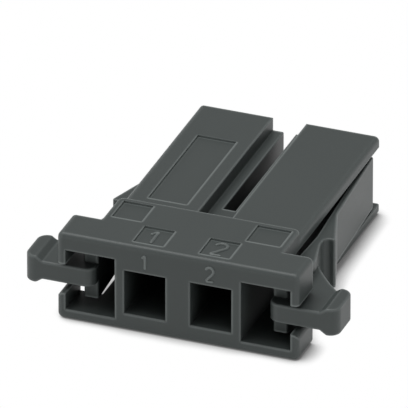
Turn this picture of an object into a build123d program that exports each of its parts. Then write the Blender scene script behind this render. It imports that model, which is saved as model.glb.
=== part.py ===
from build123d import *
from math import radians, tan
import os

# Crimp housing of a two-position board connector, moulded in one piece, in millimetres.
# X runs across the positions, Y from the wire-entry face back to the mating end, Z up from the rest face.
# The parts are drawn with Y = 0 on the wire-entry face; build() then centres the housing on its base.

# Positions
POSITIONS = 2
PITCH = 5.08

# Contact chambers
CHAMBER_WIDTH = 3.15
CHAMBER_HEIGHT = 3.5
CHAMBER_FLOOR = 1.35
CHAMBER_ROOF = 1.5
END_WALL = 1.3
PIN_ENTRY_WIDTH = 2.4
PIN_ENTRY_HEIGHT = 1.3
PIN_ENTRY_LEAD_IN = 0.3
LANCE_WINDOW_WIDTH = 1.6
LANCE_WINDOW_LENGTH = 3.0
LANCE_WINDOW_START = 12.5

# Body: a web between an upper and a lower plate
LENGTH = 23.0
WEB_MARGIN = 2.33
PLATE_OVERHANG = 2.13
UPPER_PLATE = 0.92
LOWER_PLATE = 0.8
PLATE_TOP_ROUND = 0.38
PLATE_BOTTOM_ROUND = 0.3
PLATE_LIP_ROUND = 0.12
PLATE_END_ROUND = 0.1

# Flange and the raised collar behind it
FLANGE_RISE = 0.65
FLANGE_DEPTH = 3.05
FLANGE_SIDE_ROUND = 0.4
FLANGE_FRONT_ROUND = 0.35
FLANGE_REAR_ROUND = 0.12
SIDE_WALL = 0.65
COLLAR_END = 6.7
COLLAR_CORNER_ROUND = 0.5
COLLAR_TOP_ROUND = 0.18

# Latch pockets through the flange, which run on as open channels along both sides of the body
POCKET_WIDTH = 3.78
POCKET_ROOF_DROP = 0.73
MOUTH_ROUND = 0.12

# Coding slots between neighbouring chambers, with a ledge along both sides
LEDGE_DROP = 1.07
TROUGH_WIDTH = 2.58
SLOT_WIDTH = 0.92
SLOT_START = 10.5
COLUMN_EDGE_ROUND = 0.1

# Recessed marking fields
FIELD_DEPTH = 0.15
FIELD_WIDTH = 2.32
FIELD_LENGTH = 2.45
FIELD_FRONT = 0.75
LEFT_CORNER_WIDTH = 2.3
RIGHT_CORNER_WIDTH = 2.6
CORNER_LENGTH = 2.5
CORNER_FRONT = 3.7
CORNER_EDGE = 0.52
PANEL_WIDTH = 3.0
PANEL_LENGTH = 10.2
PANEL_FRONT = 8.35
PANEL_EDGE = 1.54

# Latch lever: a cantilever from the mating end that splays outwards to a locking shoulder
LEVER_SETBACK = 0.09
LEVER_THICKNESS = 0.45
LEVER_EDGE_ROUND = 0.12
ROOT_SETBACK = 1.0
ROOT_LENGTH = 1.1
ROOT_BITE = 0.5
ROOT_ROUND = 0.15
SPLAY_ANGLE = 3.3
FLARE_START = 13.1
FLARE_ANGLE = 18.4
FLARE_ROUND = 1.0
SHOULDER_Y = 9.36
SHOULDER_DEPTH = 0.83
SHOULDER_TIP_ROUND = 0.15
SCOOP_ROUND = 0.45
SCOOP_FLAT = 0.9
SCOOP_LENGTH = 3.2
SCOOP_HEEL_ROUND = 1.2
INNER_BEND_ROUND = 2.0

# Clearance of the lever above the channel's floor and below its roof, at the root and at the free end
LEVER_ROOT_FLOOR_GAP = 0.2
LEVER_ROOT_ROOF_GAP = 0.26
LEVER_TIP_FLOOR_GAP = 0.4
LEVER_TIP_ROOF_GAP = 0.38

# Arm: the lever's free end, inside the flange's pocket
ARM_NOSE_Y = 1.65
ARM_NOSE_WIDTH = 1.08
ARM_NOSE_ROUND = 0.2
ARM_BEND_ROUND = 0.8
ARM_TO_WALL = 0.3
ARM_TO_WEB = 1.85

# Finger tab: a flat bar that leaves the pocket sideways and thickens to a pad, with a gusset behind it
TAB_REACH = 2.78
TAB_FRONT = 0.55
TAB_REAR = 3.95
TAB_CORNER_ROUND = 0.8
TAB_EDGE_ROUND = 0.15
BAR_FLOOR = 2.57
BAR_HEIGHT = 1.5
PAD_WIDTH = 0.9
PAD_SLOPE = 0.5
PAD_RISE = 0.34
PAD_SLOPE_ROUND = 0.2
GUSSET_FLAT = 0.4
GUSSET_LENGTH = 3.73
GUSSET_SAG = 0.15
GUSSET_BITE = 0.5
GUSSET_ROUND = 0.3

# Windows in the flange's side walls that the finger tabs pass through
WINDOW_GAP_ABOVE = 0.4
WINDOW_GAP_BELOW = 0.45
WINDOW_LIP_ROUND = 0.5

# How far a cutting solid runs past the surface that it opens
CUT_MARGIN = 1.0


def position_places():
    """X of each chamber's middle, from left to right."""
    first = -(POSITIONS - 1) * PITCH / 2
    return [first + index * PITCH for index in range(POSITIONS)]


body_height = CHAMBER_FLOOR + CHAMBER_HEIGHT + CHAMBER_ROOF
flange_height = body_height + FLANGE_RISE
channel_roof = body_height - UPPER_PLATE
pocket_roof = body_height - POCKET_ROOF_DROP
ledge_top = body_height - LEDGE_DROP
web_half = position_places()[-1] + WEB_MARGIN
body_half = web_half + PLATE_OVERHANG
pocket_outer = web_half + POCKET_WIDTH
flange_half = pocket_outer + SIDE_WALL
inside_flange = FLANGE_DEPTH / 2
root_y = LENGTH - ROOT_SETBACK
root_x = body_half - LEVER_SETBACK
arm_outer = pocket_outer - ARM_TO_WALL
arm_inner = web_half + ARM_TO_WEB
tab_outer = flange_half + TAB_REACH
bar_top = BAR_FLOOR + BAR_HEIGHT


def block(x_range, y_range, z_range):
    """A box between two limits on each axis."""
    limits = (x_range, y_range, z_range)
    sizes = [high - low for low, high in limits]
    middles = [(low + high) / 2 for low, high in limits]
    return Pos(*middles) * Box(*sizes)


def rounded_outline(corners):
    """A closed face from corners that are each given as two coordinates and a corner radius."""
    points = [(first, second) for first, second, radius in corners]
    radii = [radius for first, second, radius in corners]
    return make_face(FilletPolyline(*points, radius=radii, close=True))


def symmetric(right):
    """The corners of a right half, followed by their mirror images back to the start."""
    return right + [(-x, z, radius) for x, z, radius in reversed(right)]


def section_solid(corners, y_start, y_end):
    """Extrudes an outline drawn in X and Z along Y."""
    section = Plane(origin=(0, y_start, 0), x_dir=(1, 0, 0), z_dir=(0, -1, 0))
    return extrude(section * rounded_outline(corners), amount=y_end - y_start, dir=(0, 1, 0))


def both_sides(solid):
    """The solid and its mirror image on the other side of the housing."""
    return solid + mirror(solid, about=Plane.YZ)


def body_bar():
    """Body behind the flange: a web with an overhanging plate above and below."""
    bar = section_solid(symmetric([
        (body_half, 0, PLATE_BOTTOM_ROUND),
        (body_half, LOWER_PLATE, PLATE_LIP_ROUND),
        (web_half, LOWER_PLATE, 0),
        (web_half, channel_roof, 0),
        (body_half, channel_roof, PLATE_LIP_ROUND),
        (body_half, body_height, PLATE_TOP_ROUND),
    ]), inside_flange, LENGTH)
    return fillet(bar.faces().sort_by(Axis.Y)[-1].edges(), PLATE_END_ROUND)


def flange_block():
    """Flange round the wire entries, rounded along its sides and at its front and rear."""
    flange = block((-flange_half, flange_half), (0, FLANGE_DEPTH), (0, flange_height))
    flange = fillet(flange.edges().filter_by(Axis.Y), FLANGE_SIDE_ROUND)
    flange = fillet(flange.faces().sort_by(Axis.Y)[0].edges(), FLANGE_FRONT_ROUND)
    return fillet(flange.faces().sort_by(Axis.Y)[-1].edges(), FLANGE_REAR_ROUND)


def collar_block():
    """Raised collar that steps the flange's top down to the body."""
    inside_plate = (channel_roof + body_height) / 2
    collar = block((-body_half, body_half), (inside_flange, COLLAR_END), (inside_plate, flange_height))
    rear_corners = collar.edges().filter_by(Axis.Z).group_by(Axis.Y)[-1]
    collar = fillet(rear_corners, COLLAR_CORNER_ROUND)
    top_rim = collar.faces().sort_by(Axis.Z)[-1].edges()
    return fillet(top_rim.filter_by(lambda edge: edge.center().Y > inside_flange), COLLAR_TOP_ROUND)


def pocket_cut():
    """Latch pocket through the flange on the right side."""
    return block((web_half, pocket_outer), (-CUT_MARGIN, FLANGE_DEPTH), (LOWER_PLATE, pocket_roof))


def window_cut():
    """Window in the right side wall for the finger tab, with its lower outer lip rounded off."""
    low = BAR_FLOOR - WINDOW_GAP_BELOW
    high = bar_top + WINDOW_GAP_ABOVE
    inner = pocket_outer - CUT_MARGIN
    outer = flange_half + CUT_MARGIN
    corners = [
        (inner, low, 0),
        (flange_half, low, WINDOW_LIP_ROUND),
        (flange_half, low - CUT_MARGIN, 0),
        (outer, low - CUT_MARGIN, 0),
        (outer, high, 0),
        (inner, high, 0),
    ]
    return section_solid(corners, -CUT_MARGIN, FLANGE_DEPTH + CUT_MARGIN)


def chamber_cut(x):
    """Contact chamber, open at the wire-entry face."""
    half = CHAMBER_WIDTH / 2
    y_range = (-CUT_MARGIN, LENGTH - END_WALL)
    return block((x - half, x + half), y_range, (CHAMBER_FLOOR, CHAMBER_FLOOR + CHAMBER_HEIGHT))


def pin_entry_cut(x):
    """Entry for the mating pin in the end wall, with a tapered lead-in."""
    middle = CHAMBER_FLOOR + CHAMBER_HEIGHT / 2
    half = PIN_ENTRY_WIDTH / 2
    entry = block(
        (x - half, x + half),
        (LENGTH - END_WALL - CUT_MARGIN, LENGTH + CUT_MARGIN),
        (middle - PIN_ENTRY_HEIGHT / 2, middle + PIN_ENTRY_HEIGHT / 2),
    )
    mouth = Plane(origin=(x, LENGTH, middle), x_dir=(1, 0, 0), z_dir=(0, -1, 0))
    wide = mouth * Rectangle(PIN_ENTRY_WIDTH + 2 * PIN_ENTRY_LEAD_IN, PIN_ENTRY_HEIGHT + 2 * PIN_ENTRY_LEAD_IN)
    narrow = mouth.offset(PIN_ENTRY_LEAD_IN) * Rectangle(PIN_ENTRY_WIDTH, PIN_ENTRY_HEIGHT)
    return entry + loft([wide, narrow])


def lance_window_cut(x):
    """Window in the chamber's floor where the contact's locking lance is released."""
    half = LANCE_WINDOW_WIDTH / 2
    y_range = (LANCE_WINDOW_START, LANCE_WINDOW_START + LANCE_WINDOW_LENGTH)
    return block((x - half, x + half), y_range, (-CUT_MARGIN, CHAMBER_FLOOR + CUT_MARGIN))


def coding_cut(x):
    """Trough with a ledge along both sides, and the slot between them that is open at the mating end."""
    trough_half = TROUGH_WIDTH / 2
    slot_half = SLOT_WIDTH / 2
    trough = symmetric([
        (trough_half, ledge_top, 0),
        (trough_half, body_height, COLUMN_EDGE_ROUND),
        (trough_half + CUT_MARGIN, body_height, 0),
        (trough_half + CUT_MARGIN, body_height + CUT_MARGIN, 0),
    ])
    slot = symmetric([
        (slot_half, -CUT_MARGIN, 0),
        (slot_half, ledge_top, COLUMN_EDGE_ROUND),
        (trough_half, ledge_top, 0),
        (trough_half, body_height, 0),
    ])
    cut = section_solid(trough, COLLAR_END, LENGTH + CUT_MARGIN)
    cut += section_solid(slot, SLOT_START, LENGTH + CUT_MARGIN)
    return Pos(x, 0, 0) * cut


def field_cut(x_start, width, y_start, length, surface):
    """Shallow marking field sunk into a top surface."""
    z_range = (surface - FIELD_DEPTH, surface + CUT_MARGIN)
    return block((x_start, x_start + width), (y_start, y_start + length), z_range)


def marking_cuts():
    """Marking fields: one for each position, one in each collar corner and the long panel."""
    fields = [
        field_cut(x - FIELD_WIDTH / 2, FIELD_WIDTH, FIELD_FRONT, FIELD_LENGTH, flange_height)
        for x in position_places()
    ]
    corner_limit = body_half - CORNER_EDGE
    for start, width in (
        (-corner_limit, LEFT_CORNER_WIDTH),
        (corner_limit - RIGHT_CORNER_WIDTH, RIGHT_CORNER_WIDTH),
    ):
        fields.append(field_cut(start, width, CORNER_FRONT, CORNER_LENGTH, flange_height))
    fields.append(field_cut(-body_half + PANEL_EDGE, PANEL_WIDTH, PANEL_FRONT, PANEL_LENGTH, body_height))
    return fields


def rounded_mouths(solid):
    """Rounds the mouths of the chambers and latch pockets in the wire-entry face."""
    front = solid.faces().sort_by(Axis.Y)[0]
    return fillet([edge for wire in front.inner_wires() for edge in wire.edges()], MOUTH_ROUND)


def lever_beam():
    """Right lever from its root to its nose: splayed beam, locking shoulder, scoop and arm."""
    splay = tan(radians(SPLAY_ANGLE))
    flare_x = root_x + splay * (root_y - FLARE_START)
    shoulder_x = flare_x + tan(radians(FLARE_ANGLE)) * (FLARE_START - SHOULDER_Y)
    scoop_x = shoulder_x - SHOULDER_DEPTH
    inner_bend_x = root_x + splay * (root_y - SHOULDER_Y) - LEVER_THICKNESS
    plan = rounded_outline([
        (root_x - LEVER_THICKNESS, root_y, 0),
        (root_x, root_y, ROOT_ROUND),
        (flare_x, FLARE_START, FLARE_ROUND),
        (shoulder_x, SHOULDER_Y, SHOULDER_TIP_ROUND),
        (scoop_x, SHOULDER_Y, SCOOP_ROUND),
        (scoop_x, SHOULDER_Y - SCOOP_FLAT, SCOOP_HEEL_ROUND),
        (arm_outer, SHOULDER_Y - SCOOP_LENGTH, ARM_BEND_ROUND),
        (arm_outer, FLANGE_DEPTH, ARM_BEND_ROUND),
        (arm_inner + ARM_NOSE_WIDTH, ARM_NOSE_Y, ARM_NOSE_ROUND),
        (arm_inner, ARM_NOSE_Y, ARM_NOSE_ROUND),
        (inner_bend_x, SHOULDER_Y, INNER_BEND_ROUND),
    ])
    side = Polyline(
        (root_y, LOWER_PLATE + LEVER_ROOT_FLOOR_GAP),
        (root_y, channel_roof - LEVER_ROOT_ROOF_GAP),
        (ARM_NOSE_Y, channel_roof - LEVER_TIP_ROOF_GAP),
        (ARM_NOSE_Y, LOWER_PLATE + LEVER_TIP_FLOOR_GAP),
        close=True,
    )
    side_solid = extrude(Plane.YZ * make_face(side), amount=tab_outer)
    beam = extrude(plan, amount=flange_height) & side_solid
    return fillet(beam.faces().sort_by(Axis.Z)[-1].edges(), LEVER_EDGE_ROUND)


def lever_root():
    """Bridge that joins the right lever to the web at the mating end."""
    x_range = (web_half - ROOT_BITE, root_x - LEVER_THICKNESS / 2)
    z_range = (LOWER_PLATE + LEVER_ROOT_FLOOR_GAP, channel_roof - LEVER_ROOT_ROOF_GAP)
    return block(x_range, (root_y - ROOT_LENGTH, root_y), z_range)


def finger_tab():
    """Right finger tab: its plan with the gusset, cut to the height of the bar and the pad, with rounded rims."""
    gusset_start = (tab_outer - TAB_CORNER_ROUND - GUSSET_FLAT, TAB_REAR)
    gusset_end = (arm_outer - GUSSET_BITE, TAB_REAR + GUSSET_LENGTH)
    inner_end = (arm_inner, gusset_end[1])
    rim = FilletPolyline(
        inner_end,
        (arm_inner, TAB_FRONT),
        (tab_outer, TAB_FRONT),
        (tab_outer, TAB_REAR),
        gusset_start,
        radius=TAB_CORNER_ROUND,
    )
    gusset = SagittaArc(gusset_start, gusset_end, GUSSET_SAG)
    plan = make_face(Curve() + [rim, gusset, Line(gusset_end, inner_end)])
    plan = fillet(plan.vertices().sort_by_distance(gusset_start)[0], GUSSET_ROUND)
    pad_start = tab_outer - PAD_WIDTH
    lower = [
        (arm_inner, BAR_FLOOR, 0),
        (pad_start - PAD_SLOPE, BAR_FLOOR, PAD_SLOPE_ROUND),
        (pad_start, BAR_FLOOR - PAD_RISE, PAD_SLOPE_ROUND),
        (tab_outer + CUT_MARGIN, BAR_FLOOR - PAD_RISE, 0),
    ]
    upper = [(x, BAR_FLOOR + bar_top - z, radius) for x, z, radius in reversed(lower)]
    tab = extrude(plan, amount=flange_height) & section_solid(lower + upper, 0, gusset_end[1])
    end_rims = tab.faces().sort_by(Axis.X)[-1].edges().filter_by(Axis.Y)
    return fillet(end_rims, TAB_EDGE_ROUND)


def housing():
    """The whole moulding."""
    solid = body_bar() + flange_block() + collar_block()
    places = position_places()
    solid -= both_sides(pocket_cut())
    for x in places:
        solid -= chamber_cut(x)
    solid = rounded_mouths(solid)
    solid -= both_sides(window_cut())
    for x in places:
        solid -= pin_entry_cut(x)
        solid -= lance_window_cut(x)
    for x in places[:-1]:
        solid -= coding_cut(x + PITCH / 2)
    for cut in marking_cuts():
        solid -= cut
    return solid + both_sides(lever_beam() + lever_root() + finger_tab())


def build():
    """Writes the housing, centred on its base."""
    os.makedirs("parts", exist_ok=True)
    placed = Pos(0, -LENGTH / 2, 0) * housing()
    export_step(placed, "parts/housing.step")


build()
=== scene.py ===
"""Looks of a two-position crimp housing.

Anthracite moulded plastic, raised position digits and a white studio.
"""
from __future__ import annotations

import logging
import math
from dataclasses import dataclass, field, replace
from enum import Enum
from typing import Any

import bpy
from mathutils import Matrix, Vector


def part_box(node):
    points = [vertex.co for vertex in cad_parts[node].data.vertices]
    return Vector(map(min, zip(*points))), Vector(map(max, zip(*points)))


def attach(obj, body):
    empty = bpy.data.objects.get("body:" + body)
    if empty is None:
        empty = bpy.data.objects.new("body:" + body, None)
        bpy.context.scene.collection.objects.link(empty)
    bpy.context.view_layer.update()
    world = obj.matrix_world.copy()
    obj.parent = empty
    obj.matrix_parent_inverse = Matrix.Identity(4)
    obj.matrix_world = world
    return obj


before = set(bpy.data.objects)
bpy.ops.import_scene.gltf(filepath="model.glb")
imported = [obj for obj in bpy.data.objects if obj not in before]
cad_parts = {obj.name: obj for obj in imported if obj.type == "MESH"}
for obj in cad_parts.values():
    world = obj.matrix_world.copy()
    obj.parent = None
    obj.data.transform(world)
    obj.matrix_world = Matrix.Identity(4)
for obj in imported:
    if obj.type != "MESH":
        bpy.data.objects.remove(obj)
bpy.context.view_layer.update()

LOG = logging.getLogger("crimp_housing")
MM = 0.001
HOUSING_NODE = "housing"
BODY = "root"
WHITE = (1.0, 1.0, 1.0, 1.0)
NOISE_MIDDLE = 0.5

Colour = tuple[float, float, float]
Direction = tuple[float, float, float]
Place = tuple[float, float, float]
Point = tuple[float, float]


class Socket:
    """A number socket that takes part in Python expressions, each of which adds a Math node."""

    def __init__(self, graph: Graph, link: bpy.types.NodeSocket) -> None:
        """Wraps one output socket.

        Args:
            graph: The graph that holds the socket's node.
            link: The output socket itself.
        """
        self.graph = graph
        self.link = link

    def _math(self, operation: str, *values: Socket | float) -> Socket:
        """Adds one Math node.

        Args:
            operation: The Math node's operation.
            values: Its operands, in order.

        Returns:
            The node's result.
        """
        return self.graph.maths(operation, *values)

    def __add__(self, other: Socket | float) -> Socket:
        """self + other."""
        return self._math("ADD", self, other)

    def __sub__(self, other: Socket | float) -> Socket:
        """self - other."""
        return self._math("SUBTRACT", self, other)

    def __rsub__(self, other: float) -> Socket:
        """other - self."""
        return self._math("SUBTRACT", other, self)

    def __mul__(self, other: Socket | float) -> Socket:
        """self * other."""
        return self._math("MULTIPLY", self, other)

    def __truediv__(self, other: Socket | float) -> Socket:
        """self / other."""
        return self._math("DIVIDE", self, other)


class Graph:
    """Adds nodes to one node tree."""

    MIX_FACTOR = 0
    MIX_COLOURS = (6, 7)
    MIX_RESULT = 2

    def __init__(self, tree: bpy.types.NodeTree) -> None:
        """Starts on an emptied tree.

        Args:
            tree: The node tree.
        """
        self.tree = tree
        tree.nodes.clear()

    def node(self, kind: str, settings: dict[str, Any] | None = None, **inputs: Any) -> bpy.types.Node:
        """Adds a node, sets its settings first and then its sockets.

        Args:
            kind: The node's type.
            settings: Values of the node's own properties.
            inputs: A value, a Socket or an output socket for each input. Their names have underscores for
                spaces.

        Returns:
            The new node.
        """
        made = self.tree.nodes.new(kind)
        for name, value in (settings or {}).items():
            setattr(made, name, value)
        for name, value in inputs.items():
            self.plug(made.inputs[name.replace("_", " ")], value)
        return made

    def plug(self, target: bpy.types.NodeSocket, value: Any) -> None:
        """Links a socket to an input, or sets the input's value.

        Args:
            target: The input socket.
            value: A Socket, an output socket or a plain value.
        """
        if isinstance(value, Socket):
            self.tree.links.new(value.link, target)
        elif isinstance(value, bpy.types.NodeSocket):
            self.tree.links.new(value, target)
        else:
            target.default_value = value

    def maths(self, operation: str, *values: Socket | float) -> Socket:
        """Adds a Math node.

        Args:
            operation: The node's operation.
            values: Its operands, in order.

        Returns:
            The node's result.
        """
        made = self.node("ShaderNodeMath", {"operation": operation})
        for target, value in zip(made.inputs, values):
            self.plug(target, value)
        return Socket(self, made.outputs[0])

    def read(self, kind: str, output: str, settings: dict[str, Any] | None = None, **inputs: Any) -> Socket:
        """Adds a node and wraps one of its outputs.

        Args:
            kind: The node's type.
            output: The name of the output.
            settings: Values of the node's own properties.
            inputs: As in node().

        Returns:
            The output, ready for expressions.
        """
        return Socket(self, self.node(kind, settings, **inputs).outputs[output])

    def clamp(self, value: Socket) -> Socket:
        """Holds a number between 0 and 1.

        Args:
            value: The number.

        Returns:
            The number, cut off at both ends.
        """
        return self.maths("MINIMUM", self.maths("MAXIMUM", value, 0.0), 1.0)

    def seen_rays(self) -> Socket:
        """Marks the rays that show a surface to the camera, straight, mirrored or through glass.

        Returns:
            The mark, 1 on those rays and 0 on the rays that only carry light.
        """
        rays = self.node("ShaderNodeLightPath").outputs
        mirrored = self.maths("MAXIMUM", rays["Is Glossy Ray"], rays["Is Transmission Ray"])
        return self.maths("MAXIMUM", rays["Is Camera Ray"], mirrored)

    def leaning_occlusion(self, settings: dict[str, Any], reach: float, lean: Direction) -> Socket:
        """Feels for solid matter round a spot, more to one side than to the other.

        Args:
            settings: Values of the occlusion node's own properties.
            reach: How far it feels, in millimetres.
            lean: What is added to the surface's direction, which turns the search that way.

        Returns:
            The share of free ways, from 0 to 1.
        """
        facing = self.node("ShaderNodeNewGeometry").outputs["Normal"]
        turned = self.node("ShaderNodeVectorMath", {"operation": "ADD"})
        self.plug(turned.inputs[0], facing)
        self.plug(turned.inputs[1], lean)
        way = turned.outputs["Vector"]
        return self.read("ShaderNodeAmbientOcclusion", "AO", settings, Distance=reach * MM, Normal=way)

    def mix(self, share: Socket, low: Any, high: Any) -> bpy.types.NodeSocket:
        """Mixes two colours.

        Args:
            share: How much of the second colour shows.
            low: The first colour, as three numbers or an output socket.
            high: The second colour, as three numbers or an output socket.

        Returns:
            The mixed colour's output socket.
        """
        made = self.node("ShaderNodeMix", {"data_type": "RGBA"})
        self.plug(made.inputs[self.MIX_FACTOR], share)
        for index, colour in zip(self.MIX_COLOURS, (low, high)):
            self.plug(made.inputs[index], (*colour, 1.0) if isinstance(colour, tuple) else colour)
        return made.outputs[self.MIX_RESULT]

    def mix_shaders(
        self, share: Socket, low: bpy.types.NodeSocket, high: bpy.types.NodeSocket
    ) -> bpy.types.NodeSocket:
        """Mixes two shaders.

        Args:
            share: How much of the second shader shows.
            low: The first shader's output socket.
            high: The second shader's output socket.

        Returns:
            The mixed shader's output socket.
        """
        made = self.node("ShaderNodeMixShader")
        for target, value in zip(made.inputs, (share, low, high)):
            self.plug(target, value)
        return made.outputs["Shader"]


def new_material(name: str) -> tuple[bpy.types.Material, Graph]:
    """Makes an empty node material.

    Args:
        name: The material's name.

    Returns:
        The material and the graph of its nodes.
    """
    material = bpy.data.materials.new(name)
    material.use_nodes = True
    return material, Graph(material.node_tree)


@dataclass(frozen=True)
class MouldedPlastic:
    """Glass-filled moulded plastic: an even dark grey with a fine spark-eroded grain and faint flow marks.

    Its colour has a painted highlight along the left and rear rims of a face, and painted shade deep inside
    an opening. Colours are linear, and lengths are in millimetres.
    """

    name: str = "anthracite_moulding"
    colour: Colour = (0.054, 0.064, 0.062)
    light_colour: Colour = (0.064, 0.0755, 0.073)
    # Painted highlight: a lighter colour on rims, as if they caught light from the left rear.
    painted_highlight_colour: Colour = (0.17, 0.19, 0.186)
    highlight_reach: float = 0.2
    highlight_gain: float = 3.6
    highlight_lean: Direction = (0.45, -1.0, 0.0)
    # Painted shade: a near-black colour deep inside an opening, where little light comes in.
    painted_shade_colour: Colour = (0.003, 0.0035, 0.0035)
    deep_reach: float = 7.0
    deep_open: float = 0.4
    roughness: float = 0.44
    roughness_swing: float = 0.1
    specular: float = 0.41
    flow: float = 2.4
    flow_stretch: float = 4.0
    flow_detail: float = 3.0
    flow_share: float = 0.6
    grain: float = 0.09
    grain_detail: float = 4.0
    grain_share: float = 0.7
    grain_depth: float = 0.0035
    speck: float = 0.035
    speck_detail: float = 1.0
    bump_strength: float = 0.6
    occlusion_samples: int = 16

    def material(self) -> bpy.types.Material:
        """Builds the finish.

        Returns:
            The material, which reads Object coordinates.
        """
        made, graph = new_material(self.name)
        place = graph.node("ShaderNodeTexCoord").outputs["Object"]
        stretched = graph.node("ShaderNodeMapping", Vector=place, Scale=(1.0, 1.0 / self.flow_stretch, 1.0))
        flow = self._noise(graph, stretched.outputs["Vector"], self.flow, self.flow_detail)
        grain = self._noise(graph, place, self.grain, self.grain_detail)
        speck = self._noise(graph, place, self.speck, self.speck_detail)
        tone = flow * self.flow_share + speck * (1.0 - self.flow_share)
        plain = graph.mix(tone, self.colour, self.light_colour)
        # Painted highlight: the left and rear rims turn lighter, as if lit from the left rear.
        highlighted = graph.mix(self._painted_highlights(graph), plain, self.painted_highlight_colour)
        # Painted shade: deep inside an opening the colour goes to near black.
        shade = graph.mix(self._openness(graph), self.painted_shade_colour, highlighted)
        flow_swing = (flow - NOISE_MIDDLE) * self.roughness_swing
        grain_swing = (grain - NOISE_MIDDLE) * self.roughness_swing
        roughness = flow_swing + grain_swing + self.roughness
        relief = grain * self.grain_share + speck * (1.0 - self.grain_share)
        bump = graph.node(
            "ShaderNodeBump", Strength=self.bump_strength, Distance=self.grain_depth * MM, Height=relief
        )
        surface = graph.node(
            "ShaderNodeBsdfPrincipled",
            Base_Color=shade,
            Roughness=roughness,
            Specular_IOR_Level=self.specular,
            Normal=bump.outputs["Normal"],
        )
        graph.node("ShaderNodeOutputMaterial", Surface=surface.outputs["BSDF"])
        return made

    def _painted_highlights(self, graph: Graph) -> Socket:
        """Marks rims for a painted highlight, where a short way into the plastic, towards the left rear,
        soon leads out again.

        Args:
            graph: The material's graph.

        Returns:
            The mark, 0 on flat faces and up to 1 on edges.
        """
        settings = {"inside": True, "only_local": True, "samples": self.occlusion_samples}
        solid = graph.leaning_occlusion(settings, self.highlight_reach, self.highlight_lean)
        return graph.clamp((1.0 - solid) * self.highlight_gain)

    def _openness(self, graph: Graph) -> Socket:
        """Marks how far a spot lies open to the light.

        Args:
            graph: The material's graph.

        Returns:
            The mark, 1 where enough light comes in and 0 deep inside an opening.
        """
        settings = {"only_local": True, "samples": self.occlusion_samples}
        free = graph.read("ShaderNodeAmbientOcclusion", "AO", settings, Distance=self.deep_reach * MM)
        return graph.clamp(free / self.deep_open)

    def _noise(self, graph: Graph, place: bpy.types.NodeSocket, size: float, detail: float) -> Socket:
        """Noise whose cells are about one size across.

        Args:
            graph: The material's graph.
            place: The coordinates it reads.
            size: The size of a cell in millimetres.
            detail: How many finer layers it has.

        Returns:
            The noise, from 0 to 1.
        """
        return graph.read("ShaderNodeTexNoise", "Fac", Vector=place, Scale=1.0 / (size * MM), Detail=detail)


@dataclass(frozen=True)
class StudioFloor:
    """White floor that shows plain white to the camera, darkened only close to what stands on it.

    It is clear from below, and to what lies against it, so that the underside can be seen. Lengths are in
    millimetres.
    """

    name: str = "studio_white"
    contact: float = 0.1
    bounce_colour: Colour = (0.8, 0.8, 0.8)
    shadow_reach: float = 1.8
    shadow_lean: Direction = (-0.4, -0.1, 0.0)
    shadow_level: float = 0.12
    shadow_start: float = 0.3
    shadow_end: float = 0.85
    shadow_samples: int = 24

    def material(self) -> bpy.types.Material:
        """Builds the finish.

        Returns:
            The material.
        """
        made, graph = new_material(self.name)
        settings = {"samples": self.shadow_samples}
        free = graph.leaning_occlusion(settings, self.shadow_reach, self.shadow_lean)
        lit = (free - self.shadow_start) / (self.shadow_end - self.shadow_start)
        level = graph.clamp(lit) * (1.0 - self.shadow_level) + self.shadow_level
        shown = graph.node("ShaderNodeEmission", Color=WHITE, Strength=level)
        plain = graph.node("ShaderNodeBsdfDiffuse", Color=(*self.bounce_colour, 1.0))
        paper = graph.mix_shaders(graph.seen_rays(), plain.outputs["BSDF"], shown.outputs["Emission"])
        below = graph.node("ShaderNodeNewGeometry").outputs["Backfacing"]
        travelled = graph.node("ShaderNodeLightPath").outputs["Ray Length"]
        touching = graph.maths("LESS_THAN", travelled, self.contact * MM)
        clear = graph.node("ShaderNodeBsdfTransparent").outputs["BSDF"]
        finished = graph.mix_shaders(graph.maths("MAXIMUM", below, touching), paper, clear)
        graph.node("ShaderNodeOutputMaterial", Surface=finished)
        return made


class Position(Enum):
    """A contact position, counted from the left of the wire-entry face."""

    ONE = 1
    TWO = 2


@dataclass(frozen=True)
class DigitShape:
    """Centre lines of a plain numeral that stands on its baseline. Lengths are in millimetres."""

    height: float
    half_width: float
    flag_reach: float
    flag_drop: float
    arc_start: float = 172.0
    arc_steps: int = 28

    def strokes(self, position: Position) -> list[list[Point]]:
        """The strokes of a numeral.

        Args:
            position: Which numeral.

        Returns:
            One list of points for each stroke.
        """
        return self._one() if position is Position.ONE else self._two()

    def _one(self) -> list[list[Point]]:
        """An upright stem with a flag to its left."""
        top = (0.0, self.height)
        return [[(0.0, 0.0), top], [top, (-self.flag_reach, self.height - self.flag_drop)]]

    def _two(self) -> list[list[Point]]:
        """A bow whose end runs straight, and tangent to it, down to the foot."""
        radius = self.half_width
        centre = Vector((0.0, self.height - radius))
        heel = Vector((-self.half_width, 0.0))
        gap = centre - heel
        bearing = math.atan2(gap.y, gap.x) - math.asin(radius / gap.length)
        first = math.radians(self.arc_start)
        last = bearing - math.pi / 2
        turns = [first + (last - first) * step / self.arc_steps for step in range(self.arc_steps + 1)]
        bow = [(centre.x + radius * math.cos(turn), centre.y + radius * math.sin(turn)) for turn in turns]
        return [[*bow, tuple(heel)], [tuple(heel), (self.half_width, 0.0)]]


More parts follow.
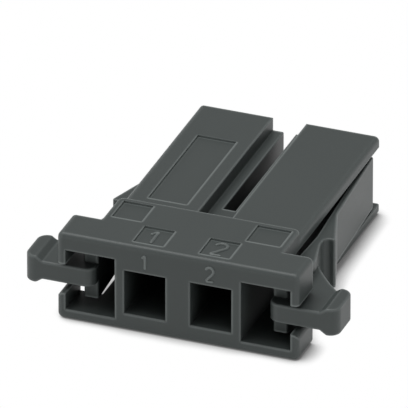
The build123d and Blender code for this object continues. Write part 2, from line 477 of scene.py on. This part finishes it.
class RaisedStrokeTree:
    """Geometry Nodes that sweep an oval bead, half of it proud, along each stroke and round its ends."""

    INPUTS = (
        ("Stroke Width", "NodeSocketFloat"),
        ("Stroke Rise", "NodeSocketFloat"),
        ("Point Spacing", "NodeSocketFloat"),
        ("Finish", "NodeSocketMaterial"),
    )
    BEAD_SIDES = 16
    LEAST_SWELL = 0.02

    def __init__(self) -> None:
        """Builds the tree."""
        self.tree = bpy.data.node_groups.new("raised_stroke", "GeometryNodeTree")
        face = self.tree.interface
        face.new_socket("Geometry", in_out="INPUT", socket_type="NodeSocketGeometry")
        self.sockets = {
            name: face.new_socket(name, in_out="INPUT", socket_type=kind).identifier
            for name, kind in self.INPUTS
        }
        face.new_socket("Geometry", in_out="OUTPUT", socket_type="NodeSocketGeometry")
        self._fill()

    def _fill(self) -> None:
        """Adds the nodes."""
        graph = Graph(self.tree)
        given = graph.node("NodeGroupInput").outputs
        curve = graph.node("GeometryNodeMeshToCurve", Mesh=given["Geometry"])
        even = graph.node(
            "GeometryNodeResampleCurve",
            {"mode": "LENGTH"},
            Curve=curve.outputs["Curve"],
            Length=given["Point Spacing"],
        )
        upright = graph.node("GeometryNodeSetCurveNormal", {"mode": "Z_UP"}, Curve=even.outputs["Curve"])
        half = Socket(graph, given["Stroke Width"]) * 0.5
        rise = Socket(graph, given["Stroke Rise"])
        circle = graph.node("GeometryNodeCurvePrimitiveCircle", Resolution=self.BEAD_SIDES, Radius=1.0)
        stretch = graph.node("ShaderNodeCombineXYZ", X=half, Y=rise, Z=1.0)
        bead = graph.node(
            "GeometryNodeTransform", Geometry=circle.outputs["Curve"], Scale=stretch.outputs["Vector"]
        )
        run = graph.read("GeometryNodeSplineParameter", "Length")
        whole = graph.read("GeometryNodeSplineLength", "Length")
        to_end = graph.maths("MINIMUM", run, whole - run)
        inset = graph.maths("MAXIMUM", 1.0 - to_end / half, 0.0)
        swell = graph.maths("SQRT", graph.maths("MAXIMUM", 1.0 - inset * inset, self.LEAST_SWELL**2))
        swept = graph.node(
            "GeometryNodeCurveToMesh",
            Curve=upright.outputs["Curve"],
            Profile_Curve=bead.outputs["Geometry"],
            Scale=swell,
            Fill_Caps=True,
        )
        smooth = graph.node("GeometryNodeSetShadeSmooth", Geometry=swept.outputs["Mesh"])
        real = graph.node("GeometryNodeRealizeInstances", Geometry=smooth.outputs["Geometry"])
        dressed = graph.node(
            "GeometryNodeSetMaterial", Geometry=real.outputs["Geometry"], Material=given["Finish"]
        )
        graph.node("NodeGroupOutput", Geometry=dressed.outputs["Geometry"])

    def sweep(self, host: bpy.types.Object, **values: Any) -> bpy.types.Mesh:
        """Runs the tree on an object and bakes the result.

        Args:
            host: An object whose mesh holds the strokes as edges.
            values: The tree's inputs, by their names with underscores for spaces.

        Returns:
            The swept mesh.
        """
        modifier = host.modifiers.new("raised_stroke", "NODES")
        modifier.node_group = self.tree
        for name, value in values.items():
            modifier[self.sockets[name.replace("_", " ")]] = value
        graph = bpy.context.evaluated_depsgraph_get()
        mesh = bpy.data.meshes.new_from_object(host.evaluated_get(graph))
        host.modifiers.remove(modifier)
        return mesh


@dataclass(frozen=True)
class DigitRow:
    """One row of raised digits. Lengths are in millimetres."""

    label: str
    shape: DigitShape
    stroke: float
    rise: float
    # How strongly the row's rims get the painted highlight.
    highlight_gain: float


@dataclass
class PositionDigits:
    """Raised numerals: one row over the chambers, one row in the marking fields on top.

    The lengths are in millimetres. Every place is counted from the housing's lowest corner.
    """

    spacing: float = 4.97
    # The last number of each row is the strength of its painted rim highlight.
    front_row: DigitRow = DigitRow("entry", DigitShape(1.13, 0.29, 0.25, 0.26), 0.2, 0.1, 4.0)
    front_foot: float = 5.27
    front_face: float = 0.0
    field_row: DigitRow = DigitRow("field", DigitShape(1.76, 0.45, 0.45, 0.55), 0.27, 0.1, 1.6)
    field_foot: float = 1.1
    field_floor: float = 6.85
    point_spacing: float = 0.02

    def build(self, plastic: MouldedPlastic) -> list[bpy.types.Object]:
        """Makes every digit.

        Args:
            plastic: The housing's plastic, which each row has with its own strength of painted rim
                highlight.

        Returns:
            The finished pieces.
        """
        tree = RaisedStrokeTree()
        low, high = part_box(HOUSING_NODE)
        middle = (low.x + high.x) / 2
        middle_position = (len(Position) + 1) / 2
        upright = Matrix(((1, 0, 0), (0, 0, -1), (0, 1, 0))).to_4x4()
        pieces = []
        for row, near, up, turn in (
            (self.front_row, self.front_face, self.front_foot, upright),
            (self.field_row, self.field_foot, self.field_floor, Matrix.Identity(4)),
        ):
            # Each row gets its own strength of painted rim highlight.
            finish = replace(plastic, name=f"{plastic.name}_{row.label}", highlight_gain=row.highlight_gain).material()
            for position in Position:
                x = middle + (position.value - middle_position) * self.spacing * MM
                place = Vector((x, low.y + near * MM, low.z + up * MM))
                pieces.append(self._digit(tree, position, row, Matrix.Translation(place) @ turn, finish))
        return pieces

    def _digit(
        self,
        tree: RaisedStrokeTree,
        position: Position,
        row: DigitRow,
        place: Matrix,
        finish: bpy.types.Material,
    ) -> bpy.types.Object:
        """Makes one digit.

        Args:
            tree: The Geometry Nodes that sweep its strokes.
            position: Which numeral.
            row: The row that it belongs to.
            place: Where its baseline's middle goes, with the digit facing +Z before the turn.
            finish: Its material.

        Returns:
            The piece.
        """
        points: list[tuple[float, float, float]] = []
        edges: list[tuple[int, int]] = []
        for stroke in row.shape.strokes(position):
            start = len(points)
            points += [(x * MM, y * MM, 0.0) for x, y in stroke]
            edges += [(index, index + 1) for index in range(start, len(points) - 1)]
        lines = bpy.data.meshes.new("strokes")
        lines.from_pydata(points, edges, [])
        host = bpy.data.objects.new("strokes", lines)
        bpy.context.scene.collection.objects.link(host)
        mesh = tree.sweep(
            host,
            Stroke_Width=row.stroke * MM,
            Stroke_Rise=row.rise * MM,
            Point_Spacing=self.point_spacing * MM,
            Finish=finish,
        )
        bpy.data.objects.remove(host)
        bpy.data.meshes.remove(lines)
        mesh.transform(place)
        piece = bpy.data.objects.new(f"digit_{row.label}_{position.value}", mesh)
        bpy.context.scene.collection.objects.link(piece)
        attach(piece, BODY)
        return piece


@dataclass
class Housing:
    """The moulding itself, which keeps its exact shape and gets its finish here."""

    finish: MouldedPlastic = field(default_factory=MouldedPlastic)

    def dress(self) -> None:
        """Puts the plastic on the moulding."""
        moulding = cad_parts[HOUSING_NODE]
        moulding.data.materials.clear()
        moulding.data.materials.append(self.finish.material())


@dataclass(frozen=True)
class ViewCamera:
    """The photograph's camera: a long lens from the front right, above the object.

    Lengths are in millimetres, angles in degrees, and the target counts from the middle of the rest face.
    """

    azimuth: float = 20.82
    elevation: float = 28.66
    target: Place = (-2.508, 0.5, 4.52)
    distance: float = 1200.0
    pixels_per_mm: float = 13.782
    frame_pixels: float = 408.0
    sensor: float = 36.0
    near: float = 100.0
    far: float = 20000.0

    def build(self) -> None:
        """Makes the camera and gives it to the scene."""
        turn, lift = math.radians(self.azimuth), math.radians(self.elevation)
        back = Vector((math.sin(turn) * math.cos(lift), -math.cos(turn) * math.cos(lift), math.sin(lift)))
        data = bpy.data.cameras.new("view_camera")
        data.sensor_width = self.sensor
        data.lens = self.sensor * self.distance * self.pixels_per_mm / self.frame_pixels
        data.clip_start = self.near * MM
        data.clip_end = self.far * MM
        camera = bpy.data.objects.new("view_camera", data)
        camera.location = (Vector(self.target) + back * self.distance) * MM
        camera.rotation_mode = "QUATERNION"
        camera.rotation_quaternion = (-back).to_track_quat("-Z", "Y")
        bpy.context.scene.collection.objects.link(camera)
        bpy.context.scene.camera = camera


@dataclass(frozen=True)
class Softbox:
    """A square area lamp that looks at the object. Lengths are in millimetres."""

    name: str
    place: Place
    side: float
    brightness: float

    def build(self) -> None:
        """Makes the lamp, whose surface is as bright as white paper times its brightness."""
        data = bpy.data.lights.new(self.name, "AREA")
        data.size = self.side * MM
        data.energy = self.brightness * math.pi * data.size**2
        lamp = bpy.data.objects.new(self.name, data)
        lamp.location = Vector(self.place) * MM
        lamp.rotation_mode = "QUATERNION"
        lamp.rotation_quaternion = (-Vector(self.place)).to_track_quat("-Z", "Y")
        bpy.context.scene.collection.objects.link(lamp)


@dataclass
class Studio:
    """A white floor, a sky that is white along the horizon and dimmer above, and the lamps.

    The floor's measures are in millimetres. The horizon's are heights on a sphere of radius 1.
    """

    FLOOR_CORNERS = 3

    floor_reach: float = 30000.0
    floor_drop: float = 0.02
    sky: float = 0.36
    horizon_top: float = 0.06
    horizon_fade: float = 0.14
    lamps: tuple[Softbox, ...] = (Softbox("key_lamp", (-95.0, 25.0, 490.0), 330.0, 4.0),)

    def build(self) -> None:
        """Makes the floor, the sky and the lamps."""
        self._floor()
        self._sky()
        for lamp in self.lamps:
            lamp.build()

    def _floor(self) -> None:
        """Lays the floor just under the object, in one triangle, so that no seam crosses the view."""
        step = math.tau / self.FLOOR_CORNERS
        turns = [math.pi / 2 + step * corner for corner in range(self.FLOOR_CORNERS)]
        reach = self.floor_reach * MM
        drop = self.floor_drop * MM
        corners = [(reach * math.cos(turn), reach * math.sin(turn), -drop) for turn in turns]
        mesh = bpy.data.meshes.new("studio_floor")
        mesh.from_pydata(corners, [], [tuple(range(self.FLOOR_CORNERS))])
        mesh.materials.append(StudioFloor().material())
        floor = bpy.data.objects.new("studio_floor", mesh)
        bpy.context.scene.collection.objects.link(floor)

    def _sky(self) -> None:
        """Lights the scene from all round, in plain white where it meets the floor, and to the camera."""
        world = bpy.data.worlds.new("studio_sky")
        world.use_nodes = True
        bpy.context.scene.world = world
        graph = Graph(world.node_tree)
        place = graph.node("ShaderNodeTexCoord").outputs["Generated"]
        height = graph.read("ShaderNodeSeparateXYZ", "Z", Vector=place)
        above = graph.clamp((height - self.horizon_top) / self.horizon_fade)
        level = (1.0 - above) * (1.0 - self.sky) + self.sky
        seen = graph.node("ShaderNodeLightPath").outputs["Is Camera Ray"]
        shown = graph.maths("MAXIMUM", level, seen)
        sky = graph.node("ShaderNodeBackground", Color=WHITE, Strength=shown)
        graph.node("ShaderNodeOutputWorld", Surface=sky.outputs["Background"])


def main() -> None:
    """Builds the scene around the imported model."""
    logging.basicConfig(level=logging.INFO, format="%(name)s: %(message)s")
    bpy.context.scene.view_settings.view_transform = "Standard"
    ViewCamera().build()
    housing = Housing()
    housing.dress()
    LOG.info("%s dressed in %s", HOUSING_NODE, housing.finish.name)
    for piece in PositionDigits().build(housing.finish):
        LOG.info("%s made, %d faces", piece.name, len(piece.data.polygons))
    Studio().build()
    LOG.info("studio built")


if __name__ == "__main__":
    main()
